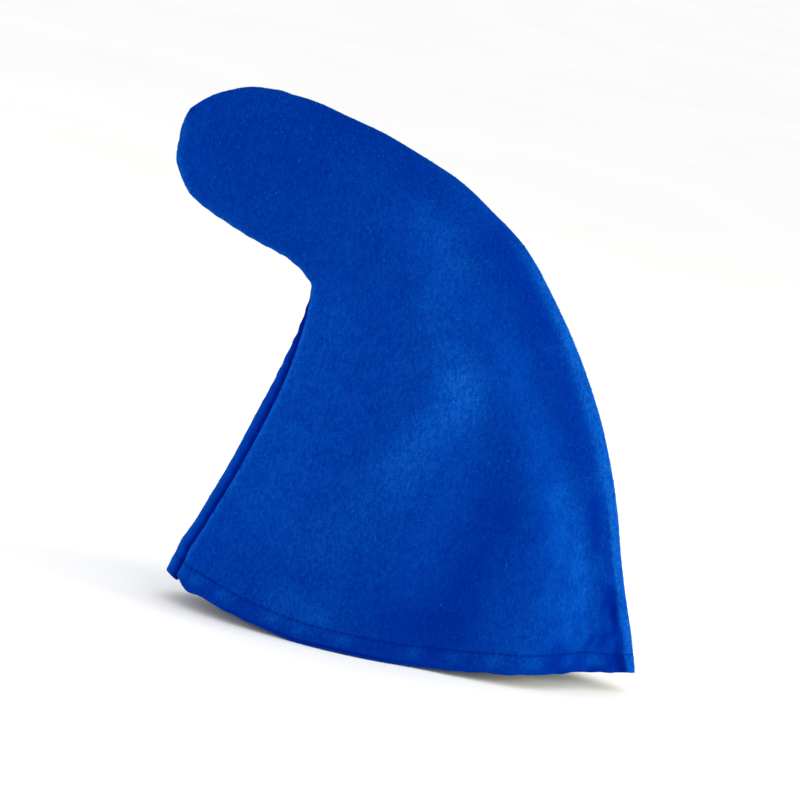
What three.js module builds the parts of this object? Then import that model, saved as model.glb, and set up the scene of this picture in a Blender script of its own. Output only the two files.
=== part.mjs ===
// A plain peaked cap of felt, worn with a gnome costume and standing on its own rim.
// Two panels meet in one seam that runs up the front, round the tip of the peak and down the back.
// Each panel is a thin shell, doubled beside the seam and along the rim, where the felt is turned in.
//
// Millimetres. +Z is up and z = 0 is the surface that the rim stands on. The peak points to -X, the
// left panel is on the -Y side, and the origin is the middle of the head opening.

import * as THREE from 'three';

// Driving dimensions
const RIM_LENGTH = 275; // head opening from front to back, outside the felt
const RIM_WIDTH = 106; // head opening from side to side, outside the felt
const BEND_HEIGHT = 187.5; // floor to the hollow where the crown bends into the peak
const PEAK_REACH = 90; // how far the tip stands forward of that hollow
const PEAK_DEPTH = 79; // the peak from top to underside, where its round tip begins
const PEAK_THICKNESS = 24; // the peak from side to side, at the same place
const TIP_LENGTH = 44; // length of the round tip
const TIP_DROOP = 3; // how far the tip's point hangs below the line of the peak
const HEM_RISE = 14.6; // how far the hem rises from the floor to its front corner
const HEM_TURN_UP = 14; // felt turned up inside the rim
const SEAM_ALLOWANCE = 9; // felt turned in beside the seam
const SEAM_ROLL = 12.5; // how far the front seam is drawn round onto the left side, at the rim
const FOLD_HEIGHT = 4; // height of the soft folds in the sides
const FELT_THICKNESS = 1.5;
const SEAM_GAP = 0.3; // space left between the two panels, all along the seam

const FELT_COLOUR = 0x023ba3;

// The crown and the peak as sections, from the rim to where the round tip begins.
//   front    x of the section's front end, in rim lengths
//   up       height of that end, from 0 at the hem's front corner to 1 at the bend
//   forward  how far that end stands out along the peak's underside, in peak reaches
//   rise     how far the underside has risen above the bend there, in peak reaches
//   tilt     slope of the section from front to back, in degrees
//   taper    its length, from 0 for the peak's depth to 1 for the rim's length
//   swell    its width, from 0 for the peak's thickness to 1 for the rim's width
//   nose     shape of its front end: 1 is round, and 2 comes to an edge
//   edge     shape of its back end, in the same way
//   roll     how far the seam is drawn round its front end, in seam rolls
const SECTION_COLUMNS = [
  'front', 'up', 'forward', 'rise', 'tilt', 'taper', 'swell', 'nose', 'edge', 'roll',
];
const SECTIONS = [
  [-0.500, 0.00, 0.000, 0.000, 0.0, 1.000, 1.00, 1.15, 2.0, 1.00], // rim
  [-0.461, 0.20, 0.000, 0.000, 1.0, 0.867, 0.87, 1.20, 2.0, 0.82],
  [-0.427, 0.37, 0.000, 0.000, 6.7, 0.733, 0.71, 1.25, 1.9, 0.80],
  [-0.396, 0.55, 0.000, 0.000, 12.0, 0.600, 0.58, 1.35, 1.8, 0.76],
  [-0.367, 0.72, 0.000, 0.000, 14.5, 0.468, 0.46, 1.45, 1.7, 0.55],
  [-0.346, 0.88, 0.000, 0.000, 17.2, 0.336, 0.36, 1.55, 1.7, 0.20],
  [-0.341, 1.00, 0.000, 0.000, 23.2, 0.226, 0.27, 1.60, 1.6, 0.00], // bend
  [-0.341, 1.00, 0.037, 0.074, 32.8, 0.151, 0.21, 1.60, 1.6, 0.00],
  [-0.341, 1.00, 0.094, 0.122, 44.0, 0.100, 0.16, 1.55, 1.6, 0.00],
  [-0.341, 1.00, 0.187, 0.166, 54.6, 0.062, 0.12, 1.50, 1.6, 0.00],
  [-0.341, 1.00, 0.313, 0.206, 62.6, 0.042, 0.085, 1.50, 1.6, 0.00],
  [-0.341, 1.00, 0.472, 0.256, 68.3, 0.025, 0.05, 1.50, 1.6, 0.00],
  [-0.341, 1.00, 0.644, 0.316, 73.2, 0.000, 0.00, 1.55, 1.6, 0.00], // the round tip begins
];
const LAST_SECTION = SECTIONS.length - 1;
const BEND_SECTION = 6;

// The hem lies flat on the floor between two places along each side, and rises to its corners.
const FLOOR_FROM = 0.30; // where the hem meets the floor, in rim lengths from the front
const FLOOR_TO = 0.48; // where it leaves the floor
const FRONT_RISE_POWER = 1.65; // how steeply it rises to the front corner
const BACK_RISE = 0.76; // height of the back corner, in hem rises
const BACK_RISE_POWER = 1.2;
const SAG_END_SECTION = 3; // the hem's curve has died out by this section

// Soft folds, each along a path of points on the side of the hat.
//   height  in fold heights, less than 0 for a hollow
//   width   half the fold's width, in rim widths
//   path    x in rim lengths and z in bend heights, from top to bottom
const LEFT_FOLDS = [
  { height: 0.8, width: 0.20, path: [[-0.09, 1.16], [0.00, 0.86], [-0.19, 0.27]] },
  { height: 0.9, width: 0.20, path: [[0.02, 1.00], [0.26, 0.52], [0.30, 0.18]] },
  { height: -1.0, width: 0.22, path: [[0.10, 0.72], [0.11, 0.45], [0.08, 0.10]] },
  { height: -0.7, width: 0.14, path: [[0.06, 1.16], [0.25, 0.82], [0.41, 0.25]] },
];
const RIGHT_FOLDS = [
  { height: 0.9, width: 0.22, path: [[-0.10, 1.10], [0.04, 0.75], [0.06, 0.20]] },
  { height: -0.9, width: 0.19, path: [[0.08, 0.95], [0.21, 0.55], [0.24, 0.15]] },
  { height: -0.6, width: 0.18, path: [[-0.20, 0.75], [-0.19, 0.20]] },
];
const FOLD_FADE = 22; // distance from the seam over which the folds grow to their height

// Fineness of the mesh
const HEM_ROWS = [0, 0.5, 0.95, 1.1]; // heights of the lowest rows, in hem turn-ups
const ROW_CLEARANCE = 0.05; // least step from those rows to the next, in sections
const BODY_ROWS_PER_SECTION = 3;
const PEAK_ROWS_PER_SECTION = 2;
const TIP_ROWS = 7;
const SEAM_COLUMNS = [0, 0.25, 0.6, 0.95, 1.15]; // columns beside each seam, in seam allowances
const WIDEST_ALLOWANCE = 0.2; // where a section is short, the allowance takes no more of it than this
const MIDDLE_COLUMNS = 16;
const OUTLINE_STEPS = 240; // steps that measure the length round a section

const degrees = (angle) => angle * Math.PI / 180;
const mix = (a, b, share) => a + (b - a) * share;
const clamp01 = (value) => Math.min(1, Math.max(0, value));
const smooth = (value) => clamp01(value) ** 2 * (3 - 2 * clamp01(value));

// One column of the section table at any level, a smooth curve through its rows.
function column(name, level) {
  const index = SECTION_COLUMNS.indexOf(name);
  const row = Math.min(Math.floor(level), LAST_SECTION - 1);
  const t = level - row;
  const [a, b, c, d] = [-1, 0, 1, 2].map((step) => {
    const near = Math.min(LAST_SECTION, Math.max(0, row + step));
    return SECTIONS[near][index];
  });
  const bend = 2 * a - 5 * b + 4 * c - d;
  const twist = 3 * (b - c) + d - a;
  return b + 0.5 * t * (c - a + t * (bend + t * twist));
}

// A section's front end, its length, slope, half width and end shapes, at a level of the crown or peak.
function crownSection(level) {
  const slope = degrees(column('tilt', level));
  return {
    x: RIM_LENGTH * column('front', level) - PEAK_REACH * column('forward', level),
    z: mix(HEM_RISE, BEND_HEIGHT, column('up', level)) + PEAK_REACH * column('rise', level),
    along: [Math.cos(slope), Math.sin(slope)],
    length: mix(PEAK_DEPTH, RIM_LENGTH, column('taper', level)),
    half: mix(PEAK_THICKNESS, RIM_WIDTH, column('swell', level)) / 2,
    nose: column('nose', level),
    edge: column('edge', level),
    sag: 1 - smooth(level / SAG_END_SECTION),
    shrink: 1,
    advance: 0,
  };
}

// The same for the round tip, half an ellipse that runs from turn 0 to 1 at its point.
function tipSection(turn) {
  const base = crownSection(LAST_SECTION);
  const shrink = Math.cos(turn * Math.PI / 2);
  return { ...base, shrink, advance: Math.sin(turn * Math.PI / 2) };
}

// Height of the hem above the floor, at a share of the way from the front corner to the back one.
function hemHeight(share) {
  if (share < FLOOR_FROM) {
    return HEM_RISE * ((FLOOR_FROM - share) / FLOOR_FROM) ** FRONT_RISE_POWER;
  }
  if (share > FLOOR_TO) {
    const rest = (share - FLOOR_TO) / (1 - FLOOR_TO);
    return HEM_RISE * BACK_RISE * Math.sin(rest * Math.PI / 2) ** BACK_RISE_POWER;
  }
  return 0;
}

// A point of a section. The turn runs from -PI at the back, along the left side, through 0 at the front
// and along the right side to PI. The depth is how far the point lies inside the outer surface.
function sectionPoint(section, turn, depth) {
  const share = (1 - Math.cos(turn)) / 2;
  const power = mix(section.nose, section.edge, share);
  const [alongX, alongZ] = section.along;
  const reach = (section.length - 2 * depth) * section.shrink * (share - 0.5);
  const out = (TIP_LENGTH - depth) * section.advance;
  const droop = TIP_DROOP * section.advance ** 2;
  const middle = section.length / 2 - droop;
  const x = section.x + alongX * (middle + reach) - alongZ * out;
  const flatZ = section.z + alongZ * (middle + reach) + alongX * out;
  const z = flatZ - section.sag * (HEM_RISE - hemHeight(share));
  const swell = Math.abs(Math.sin(turn)) ** power * section.shrink ** power;
  return new THREE.Vector3(x, Math.sign(turn) * (section.half - depth) * swell, z);
}

// How far each of many small turns lies along the section's outline, from the front to the back.
function outline(section) {
  const steps = [];
  let length = 0;
  let before = sectionPoint(section, 0, 0);
  for (let i = 0; i <= OUTLINE_STEPS; i += 1) {
    const turn = Math.PI * i / OUTLINE_STEPS;
    const point = sectionPoint(section, turn, 0);
    length += point.distanceTo(before);
    before = point;
    steps.push({ turn, length });
  }
  return steps;
}

// The turn that lies at a distance along the outline. Distances below 0 lie round the other side.
function turnAt(steps, distance) {
  const wanted = Math.abs(distance);
  const next = Math.max(1, steps.findIndex((step) => step.length >= wanted));
  const [a, b] = [steps[next - 1], steps[next]];
  return Math.sign(distance) * mix(a.turn, b.turn, (wanted - a.length) / (b.length - a.length));
}

// Levels of the rows from the rim to the tip, closest together at the edge of the hem's turn-up.
function rowSections() {
  const first = crownSection(0);
  const second = crownSection(1);
  const hem = HEM_TURN_UP / Math.hypot(second.x - first.x, second.z - first.z);
  const levels = HEM_ROWS.map((share) => share * hem);
  const bodyStart = Math.ceil((levels[levels.length - 1] + ROW_CLEARANCE) * BODY_ROWS_PER_SECTION);
  for (let i = bodyStart; i < BEND_SECTION * BODY_ROWS_PER_SECTION; i += 1) {
    levels.push(i / BODY_ROWS_PER_SECTION);
  }
  for (let i = BEND_SECTION * PEAK_ROWS_PER_SECTION; i <= LAST_SECTION * PEAK_ROWS_PER_SECTION; i += 1) {
    levels.push(i / PEAK_ROWS_PER_SECTION);
  }
  const rows = levels.map((level) => ({ level, section: crownSection(level), doubled: level < hem }));
  for (let i = 1; i < TIP_ROWS; i += 1) {
    rows.push({ level: LAST_SECTION, section: tipSection(i / TIP_ROWS), doubled: false });
  }
  return rows;
}

const allowanceOf = (length) => Math.min(SEAM_ALLOWANCE, length * WIDEST_ALLOWANCE);

// Distances along a panel from one of its seams to the other, closest together at the allowances.
function columnPlaces(length) {
  const ends = SEAM_COLUMNS.map((share) => share * allowanceOf(length));
  const last = ends[ends.length - 1];
  const places = [...ends];
  for (let i = 1; i < MIDDLE_COLUMNS; i += 1) {
    places.push(mix(last, length - last, i / MIDDLE_COLUMNS));
  }
  return [...places, ...ends.reverse().map((end) => length - end)];
}

// How far the folds push a point of the side outwards.
function foldHeight(folds, x, z) {
  let height = 0;
  for (const fold of folds) {
    const path = fold.path.map(([px, pz]) => new THREE.Vector2(px * RIM_LENGTH, pz * BEND_HEIGHT));
    let nearest = Infinity;
    for (let i = 1; i < path.length; i += 1) {
      const step = path[i].clone().sub(path[i - 1]);
      const from = new THREE.Vector2(x, z).sub(path[i - 1]);
      const share = clamp01(from.dot(step) / step.lengthSq());
      nearest = Math.min(nearest, from.distanceTo(step.multiplyScalar(share)));
    }
    height += fold.height * FOLD_HEIGHT * Math.exp(-((nearest / (fold.width * RIM_WIDTH)) ** 2));
  }
  return height;
}

// One panel as a closed shell. The side is -1 for the left panel and 1 for the right one.
function panelGeometry(side, folds) {
  const rows = rowSections();
  const positions = [];
  const triangles = [];
  const addPoint = (point) => positions.push(point.x, point.y + side * SEAM_GAP / 2, point.z) / 3 - 1;
  const addQuad = (a, b, c, d) => triangles.push(a, b, c, a, c, d);

  const outer = [];
  const inner = [];
  for (const { level, section, doubled } of rows) {
    const steps = outline({ ...section, shrink: 1, advance: 0 });
    const front = -side * SEAM_ROLL * column('roll', level);
    const length = steps[steps.length - 1].length - front;
    const outerRow = [];
    const innerRow = [];
    columnPlaces(length).forEach((place) => {
      const turn = side * Math.min(Math.PI, Math.max(-Math.PI, turnAt(steps, front + place)));
      const toSeam = Math.min(place, length - place);
      const layers = doubled || toSeam < allowanceOf(length) ? 2 : 1;
      const depth = FELT_THICKNESS * layers;
      const outside = sectionPoint(section, turn, 0);
      const inside = sectionPoint(section, turn, depth);
      const fade = section.shrink * smooth(toSeam / FOLD_FADE);
      const push = side * fade * foldHeight(folds, outside.x, outside.z);
      outside.y += push;
      inside.y += push;
      outerRow.push(addPoint(outside));
      innerRow.push(addPoint(inside));
    });
    outer.push(outerRow);
    inner.push(innerRow);
  }
  const point = tipSection(1);
  const outerTip = addPoint(sectionPoint(point, 0, 0));
  const innerTip = addPoint(sectionPoint(point, 0, FELT_THICKNESS * 2));

  const last = rows.length - 1;
  const end = outer[0].length - 1;
  for (let j = 0; j < end; j += 1) {
    for (let i = 0; i < last; i += 1) {
      addQuad(outer[i][j], outer[i][j + 1], outer[i + 1][j + 1], outer[i + 1][j]);
      addQuad(inner[i][j], inner[i + 1][j], inner[i + 1][j + 1], inner[i][j + 1]);
    }
    triangles.push(outer[last][j], outer[last][j + 1], outerTip);
    triangles.push(inner[last][j + 1], inner[last][j], innerTip);
    addQuad(inner[0][j], inner[0][j + 1], outer[0][j + 1], outer[0][j]);
  }
  for (let i = 0; i < last; i += 1) {
    addQuad(inner[i][0], outer[i][0], outer[i + 1][0], inner[i + 1][0]);
    addQuad(outer[i][end], inner[i][end], inner[i + 1][end], outer[i + 1][end]);
  }
  addQuad(inner[last][0], outer[last][0], outerTip, innerTip);
  addQuad(outer[last][end], inner[last][end], innerTip, outerTip);

  // The rows run up the left side with their outside facing out, so the right side is turned round.
  if (side > 0) triangles.reverse();
  const geometry = new THREE.BufferGeometry();
  geometry.setAttribute('position', new THREE.Float32BufferAttribute(positions, 3));
  geometry.setIndex(triangles);
  geometry.computeVertexNormals();
  return geometry;
}

function felt() {
  return new THREE.MeshStandardMaterial({ color: FELT_COLOUR, roughness: 0.95, metalness: 0 });
}

function panel(name, side, folds) {
  const mesh = new THREE.Mesh(panelGeometry(side, folds), felt());
  mesh.name = name;
  return mesh;
}

const hat = new THREE.Group();
hat.name = 'gnome_hat';
hat.add(panel('left_panel', -1, LEFT_FOLDS));
hat.add(panel('right_panel', 1, RIGHT_FOLDS));

export default hat;
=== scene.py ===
# %% [markdown]
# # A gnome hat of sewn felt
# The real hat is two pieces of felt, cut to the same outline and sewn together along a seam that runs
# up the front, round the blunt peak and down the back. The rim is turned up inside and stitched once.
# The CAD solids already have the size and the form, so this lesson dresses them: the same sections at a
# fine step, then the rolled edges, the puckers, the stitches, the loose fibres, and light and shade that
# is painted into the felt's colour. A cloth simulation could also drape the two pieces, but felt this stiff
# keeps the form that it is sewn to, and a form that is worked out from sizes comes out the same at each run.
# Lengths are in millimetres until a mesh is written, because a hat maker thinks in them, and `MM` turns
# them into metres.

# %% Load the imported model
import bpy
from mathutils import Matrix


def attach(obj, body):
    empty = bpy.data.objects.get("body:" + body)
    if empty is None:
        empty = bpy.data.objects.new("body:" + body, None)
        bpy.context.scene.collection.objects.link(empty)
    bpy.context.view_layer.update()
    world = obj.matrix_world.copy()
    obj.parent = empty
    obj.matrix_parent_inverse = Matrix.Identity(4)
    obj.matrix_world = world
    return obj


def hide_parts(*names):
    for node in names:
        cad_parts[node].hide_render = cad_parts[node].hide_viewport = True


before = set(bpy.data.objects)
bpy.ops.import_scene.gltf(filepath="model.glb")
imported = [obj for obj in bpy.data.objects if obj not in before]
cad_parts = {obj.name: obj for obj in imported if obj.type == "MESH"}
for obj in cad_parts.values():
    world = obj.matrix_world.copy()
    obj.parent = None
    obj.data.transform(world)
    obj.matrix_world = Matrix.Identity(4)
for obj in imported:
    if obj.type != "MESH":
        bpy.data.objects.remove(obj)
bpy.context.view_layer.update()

# %% [markdown]
# ## Sizes
# These are the driving dimensions of the solids, and the table that shapes them. Each row of the table
# is a section across the hat, from the rim to where the round tip begins. `front`, `up`, `forward` and
# `rise` place its front end, `tilt` slopes it, `taper` and `swell` set its length and width, `nose` and
# `edge` say how round its two ends are, and `roll` draws the front seam round to the left side. The
# first six columns, from `front` to `taper`, follow a measurement: a separate script turned points that
# were picked on the photograph's outline into places on the hat.

# %% Sizes of the hat
import math

import bpy
import numpy as np
from mathutils import Matrix, Vector

MM = 0.001
RIM_LENGTH = 275.0
RIM_WIDTH = 106.0
BEND_HEIGHT = 187.5
PEAK_REACH = 90.0
PEAK_DEPTH = 79.0
PEAK_THICKNESS = 24.0
TIP_LENGTH = 44.0
TIP_DROOP = 3.0
HEM_RISE = 14.6
HEM_TURN_UP = 14.0
SEAM_ALLOWANCE = 9.0
SEAM_ROLL = 12.5
FOLD_HEIGHT = 4.0
FELT_THICKNESS = 1.5
SEAM_GAP = 0.3

COLUMNS = ("front", "up", "forward", "rise", "tilt", "taper", "swell", "nose", "edge", "roll")
TABLE = np.array([
    (-0.500, 0.00, 0.000, 0.000, 0.0, 1.000, 1.00, 1.15, 2.0, 1.00),
    (-0.461, 0.20, 0.000, 0.000, 1.0, 0.867, 0.87, 1.20, 2.0, 0.82),
    (-0.427, 0.37, 0.000, 0.000, 6.7, 0.733, 0.71, 1.25, 1.9, 0.80),
    (-0.396, 0.55, 0.000, 0.000, 12.0, 0.600, 0.58, 1.35, 1.8, 0.76),
    (-0.367, 0.72, 0.000, 0.000, 14.5, 0.468, 0.46, 1.45, 1.7, 0.55),
    (-0.346, 0.88, 0.000, 0.000, 17.2, 0.336, 0.36, 1.55, 1.7, 0.20),
    (-0.341, 1.00, 0.000, 0.000, 23.2, 0.226, 0.27, 1.60, 1.6, 0.00),
    (-0.341, 1.00, 0.037, 0.074, 32.8, 0.151, 0.21, 1.60, 1.6, 0.00),
    (-0.341, 1.00, 0.094, 0.122, 44.0, 0.100, 0.16, 1.55, 1.6, 0.00),
    (-0.341, 1.00, 0.187, 0.166, 54.6, 0.062, 0.12, 1.50, 1.6, 0.00),
    (-0.341, 1.00, 0.313, 0.206, 62.6, 0.042, 0.085, 1.50, 1.6, 0.00),
    (-0.341, 1.00, 0.472, 0.256, 68.3, 0.025, 0.05, 1.50, 1.6, 0.00),
    (-0.341, 1.00, 0.644, 0.316, 73.2, 0.000, 0.00, 1.55, 1.6, 0.00),
])
LAST_SECTION = len(TABLE) - 1
BEND_SECTION = 6
FLOOR_FROM, FLOOR_TO = 0.30, 0.48
FRONT_RISE_POWER, BACK_RISE_POWER = 1.65, 1.2
BACK_RISE = 0.76
SAG_END_SECTION = 3
print("sections in the table:", len(TABLE))

# %% [markdown]
# ## Sections
# A section is a closed loop, pointed at the back and rounder at the front. `turn` runs round it from 0
# at the front to pi at the back, and is negative on the left side. `depth` goes into the felt, so that
# one function gives the outside and the inside of the wall. NumPy works out all rows and columns at once.

# %% Points of the sections
def smooth(value):
    """0 below 0, 1 above 1 and an even curve between."""
    value = np.clip(value, 0.0, 1.0)
    return value * value * (3.0 - 2.0 * value)


def column(name, level):
    """One column of the table at any level, a smooth curve through its rows."""
    values = TABLE[:, COLUMNS.index(name)]
    row = np.minimum(np.floor(level).astype(int), LAST_SECTION - 1)
    t = level - row
    a, b, c, d = (values[np.clip(row + step, 0, LAST_SECTION)] for step in (-1, 0, 1, 2))
    return b + 0.5 * t * (c - a + t * (2 * a - 5 * b + 4 * c - d + t * (3 * (b - c) + d - a)))


def hem_height(share):
    """Height of the hem above the floor, at a share of the way from its front corner to its back one."""
    front = HEM_RISE * np.clip((FLOOR_FROM - share) / FLOOR_FROM, 0, 1) ** FRONT_RISE_POWER
    behind = np.clip((share - FLOOR_TO) / (1 - FLOOR_TO), 0, 1)
    return front + HEM_RISE * BACK_RISE * np.sin(behind * np.pi / 2) ** BACK_RISE_POWER


def section_point(level, tip_turn, turn, depth):
    """Points of the sections: level and tip_turn have a row each, turn and depth a row and a column."""
    level, tip_turn = level[:, None], tip_turn[:, None]
    slope = np.radians(column("tilt", level))
    shrink, advance = np.cos(tip_turn * np.pi / 2), np.sin(tip_turn * np.pi / 2)
    length = PEAK_DEPTH + (RIM_LENGTH - PEAK_DEPTH) * column("taper", level)
    half = (PEAK_THICKNESS + (RIM_WIDTH - PEAK_THICKNESS) * column("swell", level)) / 2
    share = (1 - np.cos(turn)) / 2
    power = column("nose", level) * (1 - share) + column("edge", level) * share
    along = length / 2 - TIP_DROOP * advance ** 2 + (length - 2 * depth) * shrink * (share - 0.5)
    out = (TIP_LENGTH - depth) * advance
    front_x = RIM_LENGTH * column("front", level) - PEAK_REACH * column("forward", level)
    front_z = HEM_RISE + (BEND_HEIGHT - HEM_RISE) * column("up", level) + PEAK_REACH * column("rise", level)
    sag = 1 - smooth(level / SAG_END_SECTION)
    x = front_x + np.cos(slope) * along - np.sin(slope) * out
    z = front_z + np.sin(slope) * along + np.cos(slope) * out - sag * (HEM_RISE - hem_height(share))
    y = np.sign(turn) * (half - depth) * (np.abs(np.sin(turn)) * shrink) ** power
    return np.stack([x, y, z], axis=-1)


tip = section_point(np.array([float(LAST_SECTION)]), np.array([1.0]), np.zeros((1, 1)), 0.0)[0, 0]
print("tip of the peak at x, z:", tip[[0, 2]].round(1))

# %% [markdown]
# ## Where the rows and columns go
# A pucker or a rolled edge is a millimetre wide, and the middle of a panel has nothing so small. So the
# rows are close together along the hem, the columns are close together beside the seams, and the rest
# are wider apart. A subdivision modifier would refine all of the felt alike, at many times the triangles.
# `place` is the distance along a section from the front seam, which a tailor would measure with a tape.

# %% Rows and columns of the fine mesh
HEM_ROWS = (0.0, 0.15, 0.4, 0.8, 1.3, 2.0, 3.0, 4.0, 5.0, 6.0, 7.0, 8.0, 9.0, 10.0, 10.8, 11.4, 12.0,
            12.6, 13.2, 13.7, 14.2, 14.8, 15.6, 16.8)
EDGE_COLUMNS = (0.0, 0.12, 0.35, 0.7, 1.2, 1.9, 2.8, 3.8, 4.9, 6.0, 7.0, 7.9, 8.6, 9.1, 9.6, 10.3, 11.5)
BODY_ROWS_PER_SECTION = 17
PEAK_ROWS_PER_SECTION = 11
TIP_ROWS = 28
MIDDLE_COLUMNS = 124
NARROW_SHARE = 0.30
ROW_CLEARANCE = 0.4
OUTLINE_STEPS = 500


def mesh_rows():
    """Level and tip turn of each row, from the hem to just before the point of the tip."""
    ends = section_point(np.array([0.0, 1.0]), np.zeros(2), np.zeros((2, 1)), 0.0)[:, 0]
    first_section = np.linalg.norm(ends[1] - ends[0])
    hem = np.array(HEM_ROWS) / first_section
    first_row = math.ceil(hem[-1] * BODY_ROWS_PER_SECTION + ROW_CLEARANCE)
    body = np.arange(first_row, BEND_SECTION * BODY_ROWS_PER_SECTION)
    peak = np.arange(BEND_SECTION * PEAK_ROWS_PER_SECTION, LAST_SECTION * PEAK_ROWS_PER_SECTION + 1)
    level = np.concatenate([hem, body / BODY_ROWS_PER_SECTION, peak / PEAK_ROWS_PER_SECTION])
    tip_turn = np.concatenate([np.zeros(len(level)), np.arange(1, TIP_ROWS) / TIP_ROWS])
    level = np.concatenate([level, np.full(TIP_ROWS - 1, float(LAST_SECTION))])
    return level, tip_turn


def column_places(length):
    """Distances from one seam to the other for a section of this length along the felt."""
    ends = np.array(EDGE_COLUMNS) * min(1.0, NARROW_SHARE * length / EDGE_COLUMNS[-1])
    middle = np.linspace(ends[-1], length - ends[-1], MIDDLE_COLUMNS + 1)[1:-1]
    return np.concatenate([ends, middle, (length - ends)[::-1]])


def panel_turns(side, level):
    """Turn and place of each mesh point of a panel, and each section's length along the panel."""
    steps = np.linspace(0, np.pi, OUTLINE_STEPS)
    flat = np.zeros(len(level))
    points = section_point(level, flat, np.tile(steps, (len(level), 1)), 0.0)
    walk = np.linalg.norm(np.diff(points, axis=1), axis=-1)
    reach = np.concatenate([np.zeros((len(level), 1)), np.cumsum(walk, axis=1)], axis=1)
    start = -side * SEAM_ROLL * column("roll", level)
    turns, places, lengths = [], [], []
    for row, outline in enumerate(reach):
        length = outline[-1] - start[row]
        place = column_places(length)
        distance = start[row] + place
        turns.append(side * np.sign(distance) * np.interp(np.abs(distance), outline, steps))
        places.append(place)
        lengths.append(length)
    return np.array(turns), np.array(places), np.array(lengths)[:, None]


ROW_LEVELS, ROW_TIP_TURNS = mesh_rows()
print("rows:", len(ROW_LEVELS), "columns:", len(column_places(300.0)))

# %% [markdown]
# ## Folds, and painted light and shade
# Felt hangs stiffly, so its folds are broad and soft. Each row of a table is a fold: how strong it is, how
# wide, and its path on the side of the hat. A path in shares of the rim's length and the bend's height
# follows the hat if those sizes change. The folds push the wall sideways, inside and outside alike, so
# that it keeps its thickness. The painted shading tables work in the same way on the colour: they paint
# the felt lighter where light would catch its flanks, and darker where shade would fall in its valleys.
# The numbers of the left side's painted shading table weren't all chosen by hand. A separate script fitted
# most of its strengths to the photograph's brightness by least squares, and they were then rounded and
# partly changed.

# %% Soft folds of the sides
LEFT_FOLDS = (
    (1.2, 0.17, ((-0.27, 1.24), (-0.16, 1.10), (-0.11, 0.92), (-0.09, 0.80), (-0.17, 0.60), (-0.30, 0.34))),
    (-1.5, 0.24, ((0.07, 0.80), (0.06, 0.50), (0.02, 0.08))),
    (0.8, 0.15, ((0.06, 0.92), (0.16, 0.60), (0.23, 0.40), (0.26, 0.22), (0.24, 0.08))),
    (-1.2, 0.12, ((-0.10, 1.20), (0.05, 1.06), (0.16, 0.84), (0.25, 0.60), (0.33, 0.34), (0.38, 0.08))),
)
RIGHT_FOLDS = (
    (0.9, 0.22, ((-0.10, 1.10), (0.04, 0.75), (0.06, 0.20))),
    (-0.9, 0.19, ((0.08, 0.95), (0.21, 0.55), (0.24, 0.15))),
    (-0.6, 0.18, ((-0.20, 0.75), (-0.19, 0.20))),
)
FOLD_FADE = 22.0
# Painted light and shade of the left side: a row with a plus strength paints the felt lighter where a flank
# would catch the light, and one with a minus strength paints it darker where shade would fall.
LEFT_PAINTED_SHADING = (
    (0.5, 0.08, ((-0.16, 1.30), (-0.06, 1.18))),
    (0.3, 0.14, ((-0.11, 1.07), (-0.07, 0.93))),
    (1.0, 0.12, ((-0.01, 0.84), (0.00, 0.80))),
    (0.3, 0.08, ((-0.14, 0.88), (-0.14, 0.78))),
    (0.6, 0.14, ((-0.05, 0.71), (-0.10, 0.56))),
    (0.3, 0.16, ((-0.15, 0.45), (-0.21, 0.27))),
    (0.5, 0.08, ((-0.27, 0.11), (-0.19, 0.09))),
    (0.3, 0.24, ((-0.29, 0.91), (-0.31, 0.63), (-0.33, 0.39))),
    (0.5, 0.08, ((0.24, 0.58), (0.30, 0.45), (0.33, 0.34))),
    (0.2, 0.12, ((0.27, 0.27), (0.23, 0.14))),
    (-0.3, 0.16, ((0.12, 0.50), (0.09, 0.32))),
    (-0.4, 0.18, ((-0.03, 0.12), (0.07, 0.15))),
    (-0.4, 0.10, ((0.00, 1.28), (0.08, 1.16), (0.14, 1.05))),
    (-0.3, 0.10, ((0.19, 0.94), (0.25, 0.80), (0.28, 0.68))),
    (-0.5, 0.05, ((0.32, 0.56), (0.35, 0.44))),
    (-0.35, 0.08, ((0.40, 0.25), (0.41, 0.18), (0.42, 0.08))),
    (-0.5, 0.09, ((0.31, 0.10), (0.34, 0.02), (0.46, 0.02))),
    (-0.2, 0.20, ((-0.57, 1.39), (-0.42, 1.36))),
    (-0.3, 0.12, ((-0.42, 1.54), (-0.25, 1.46), (-0.15, 1.38))),
)
# Painted light and shade of the right side: lighter beside a fold's ridge, darker near a valley.
RIGHT_PAINTED_SHADING = (
    (0.4, 0.18, ((-0.16, 1.15), (-0.02, 0.90), (-0.02, 0.60))),
    (-0.4, 0.22, ((0.12, 0.60), (0.10, 0.10))),
)


def along_paths(paths, x, z):
    """Sum of soft hills along paths on a side of the hat, each with its own strength and width."""
    total = np.zeros_like(x)
    for strength, width, path in paths:
        corners = np.array(path) * (RIM_LENGTH, BEND_HEIGHT)
        nearest = np.full_like(x, np.inf)
        for start, end in zip(corners, corners[1:]):
            step = end - start
            t = np.clip(((x - start[0]) * step[0] + (z - start[1]) * step[1]) / (step @ step), 0, 1)
            nearest = np.minimum(nearest, np.hypot(x - start[0] - t * step[0], z - start[1] - t * step[1]))
        total += strength * np.exp(-(nearest / (width * RIM_WIDTH)) ** 2)
    return total


print("folds on the left and right:", len(LEFT_FOLDS), len(RIGHT_FOLDS))

# %% [markdown]
# ## Noise for hand-made unevenness
# Nothing sewn is quite even. A small lattice of seeded random numbers, blended between its points, gives
# the same gentle unevenness at each run, at whatever size a step needs. Blender has noise of its own, but
# that works on one point at a time, and this works on a whole panel at once.

# %% Seeded noise
LATTICE = 32


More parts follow.
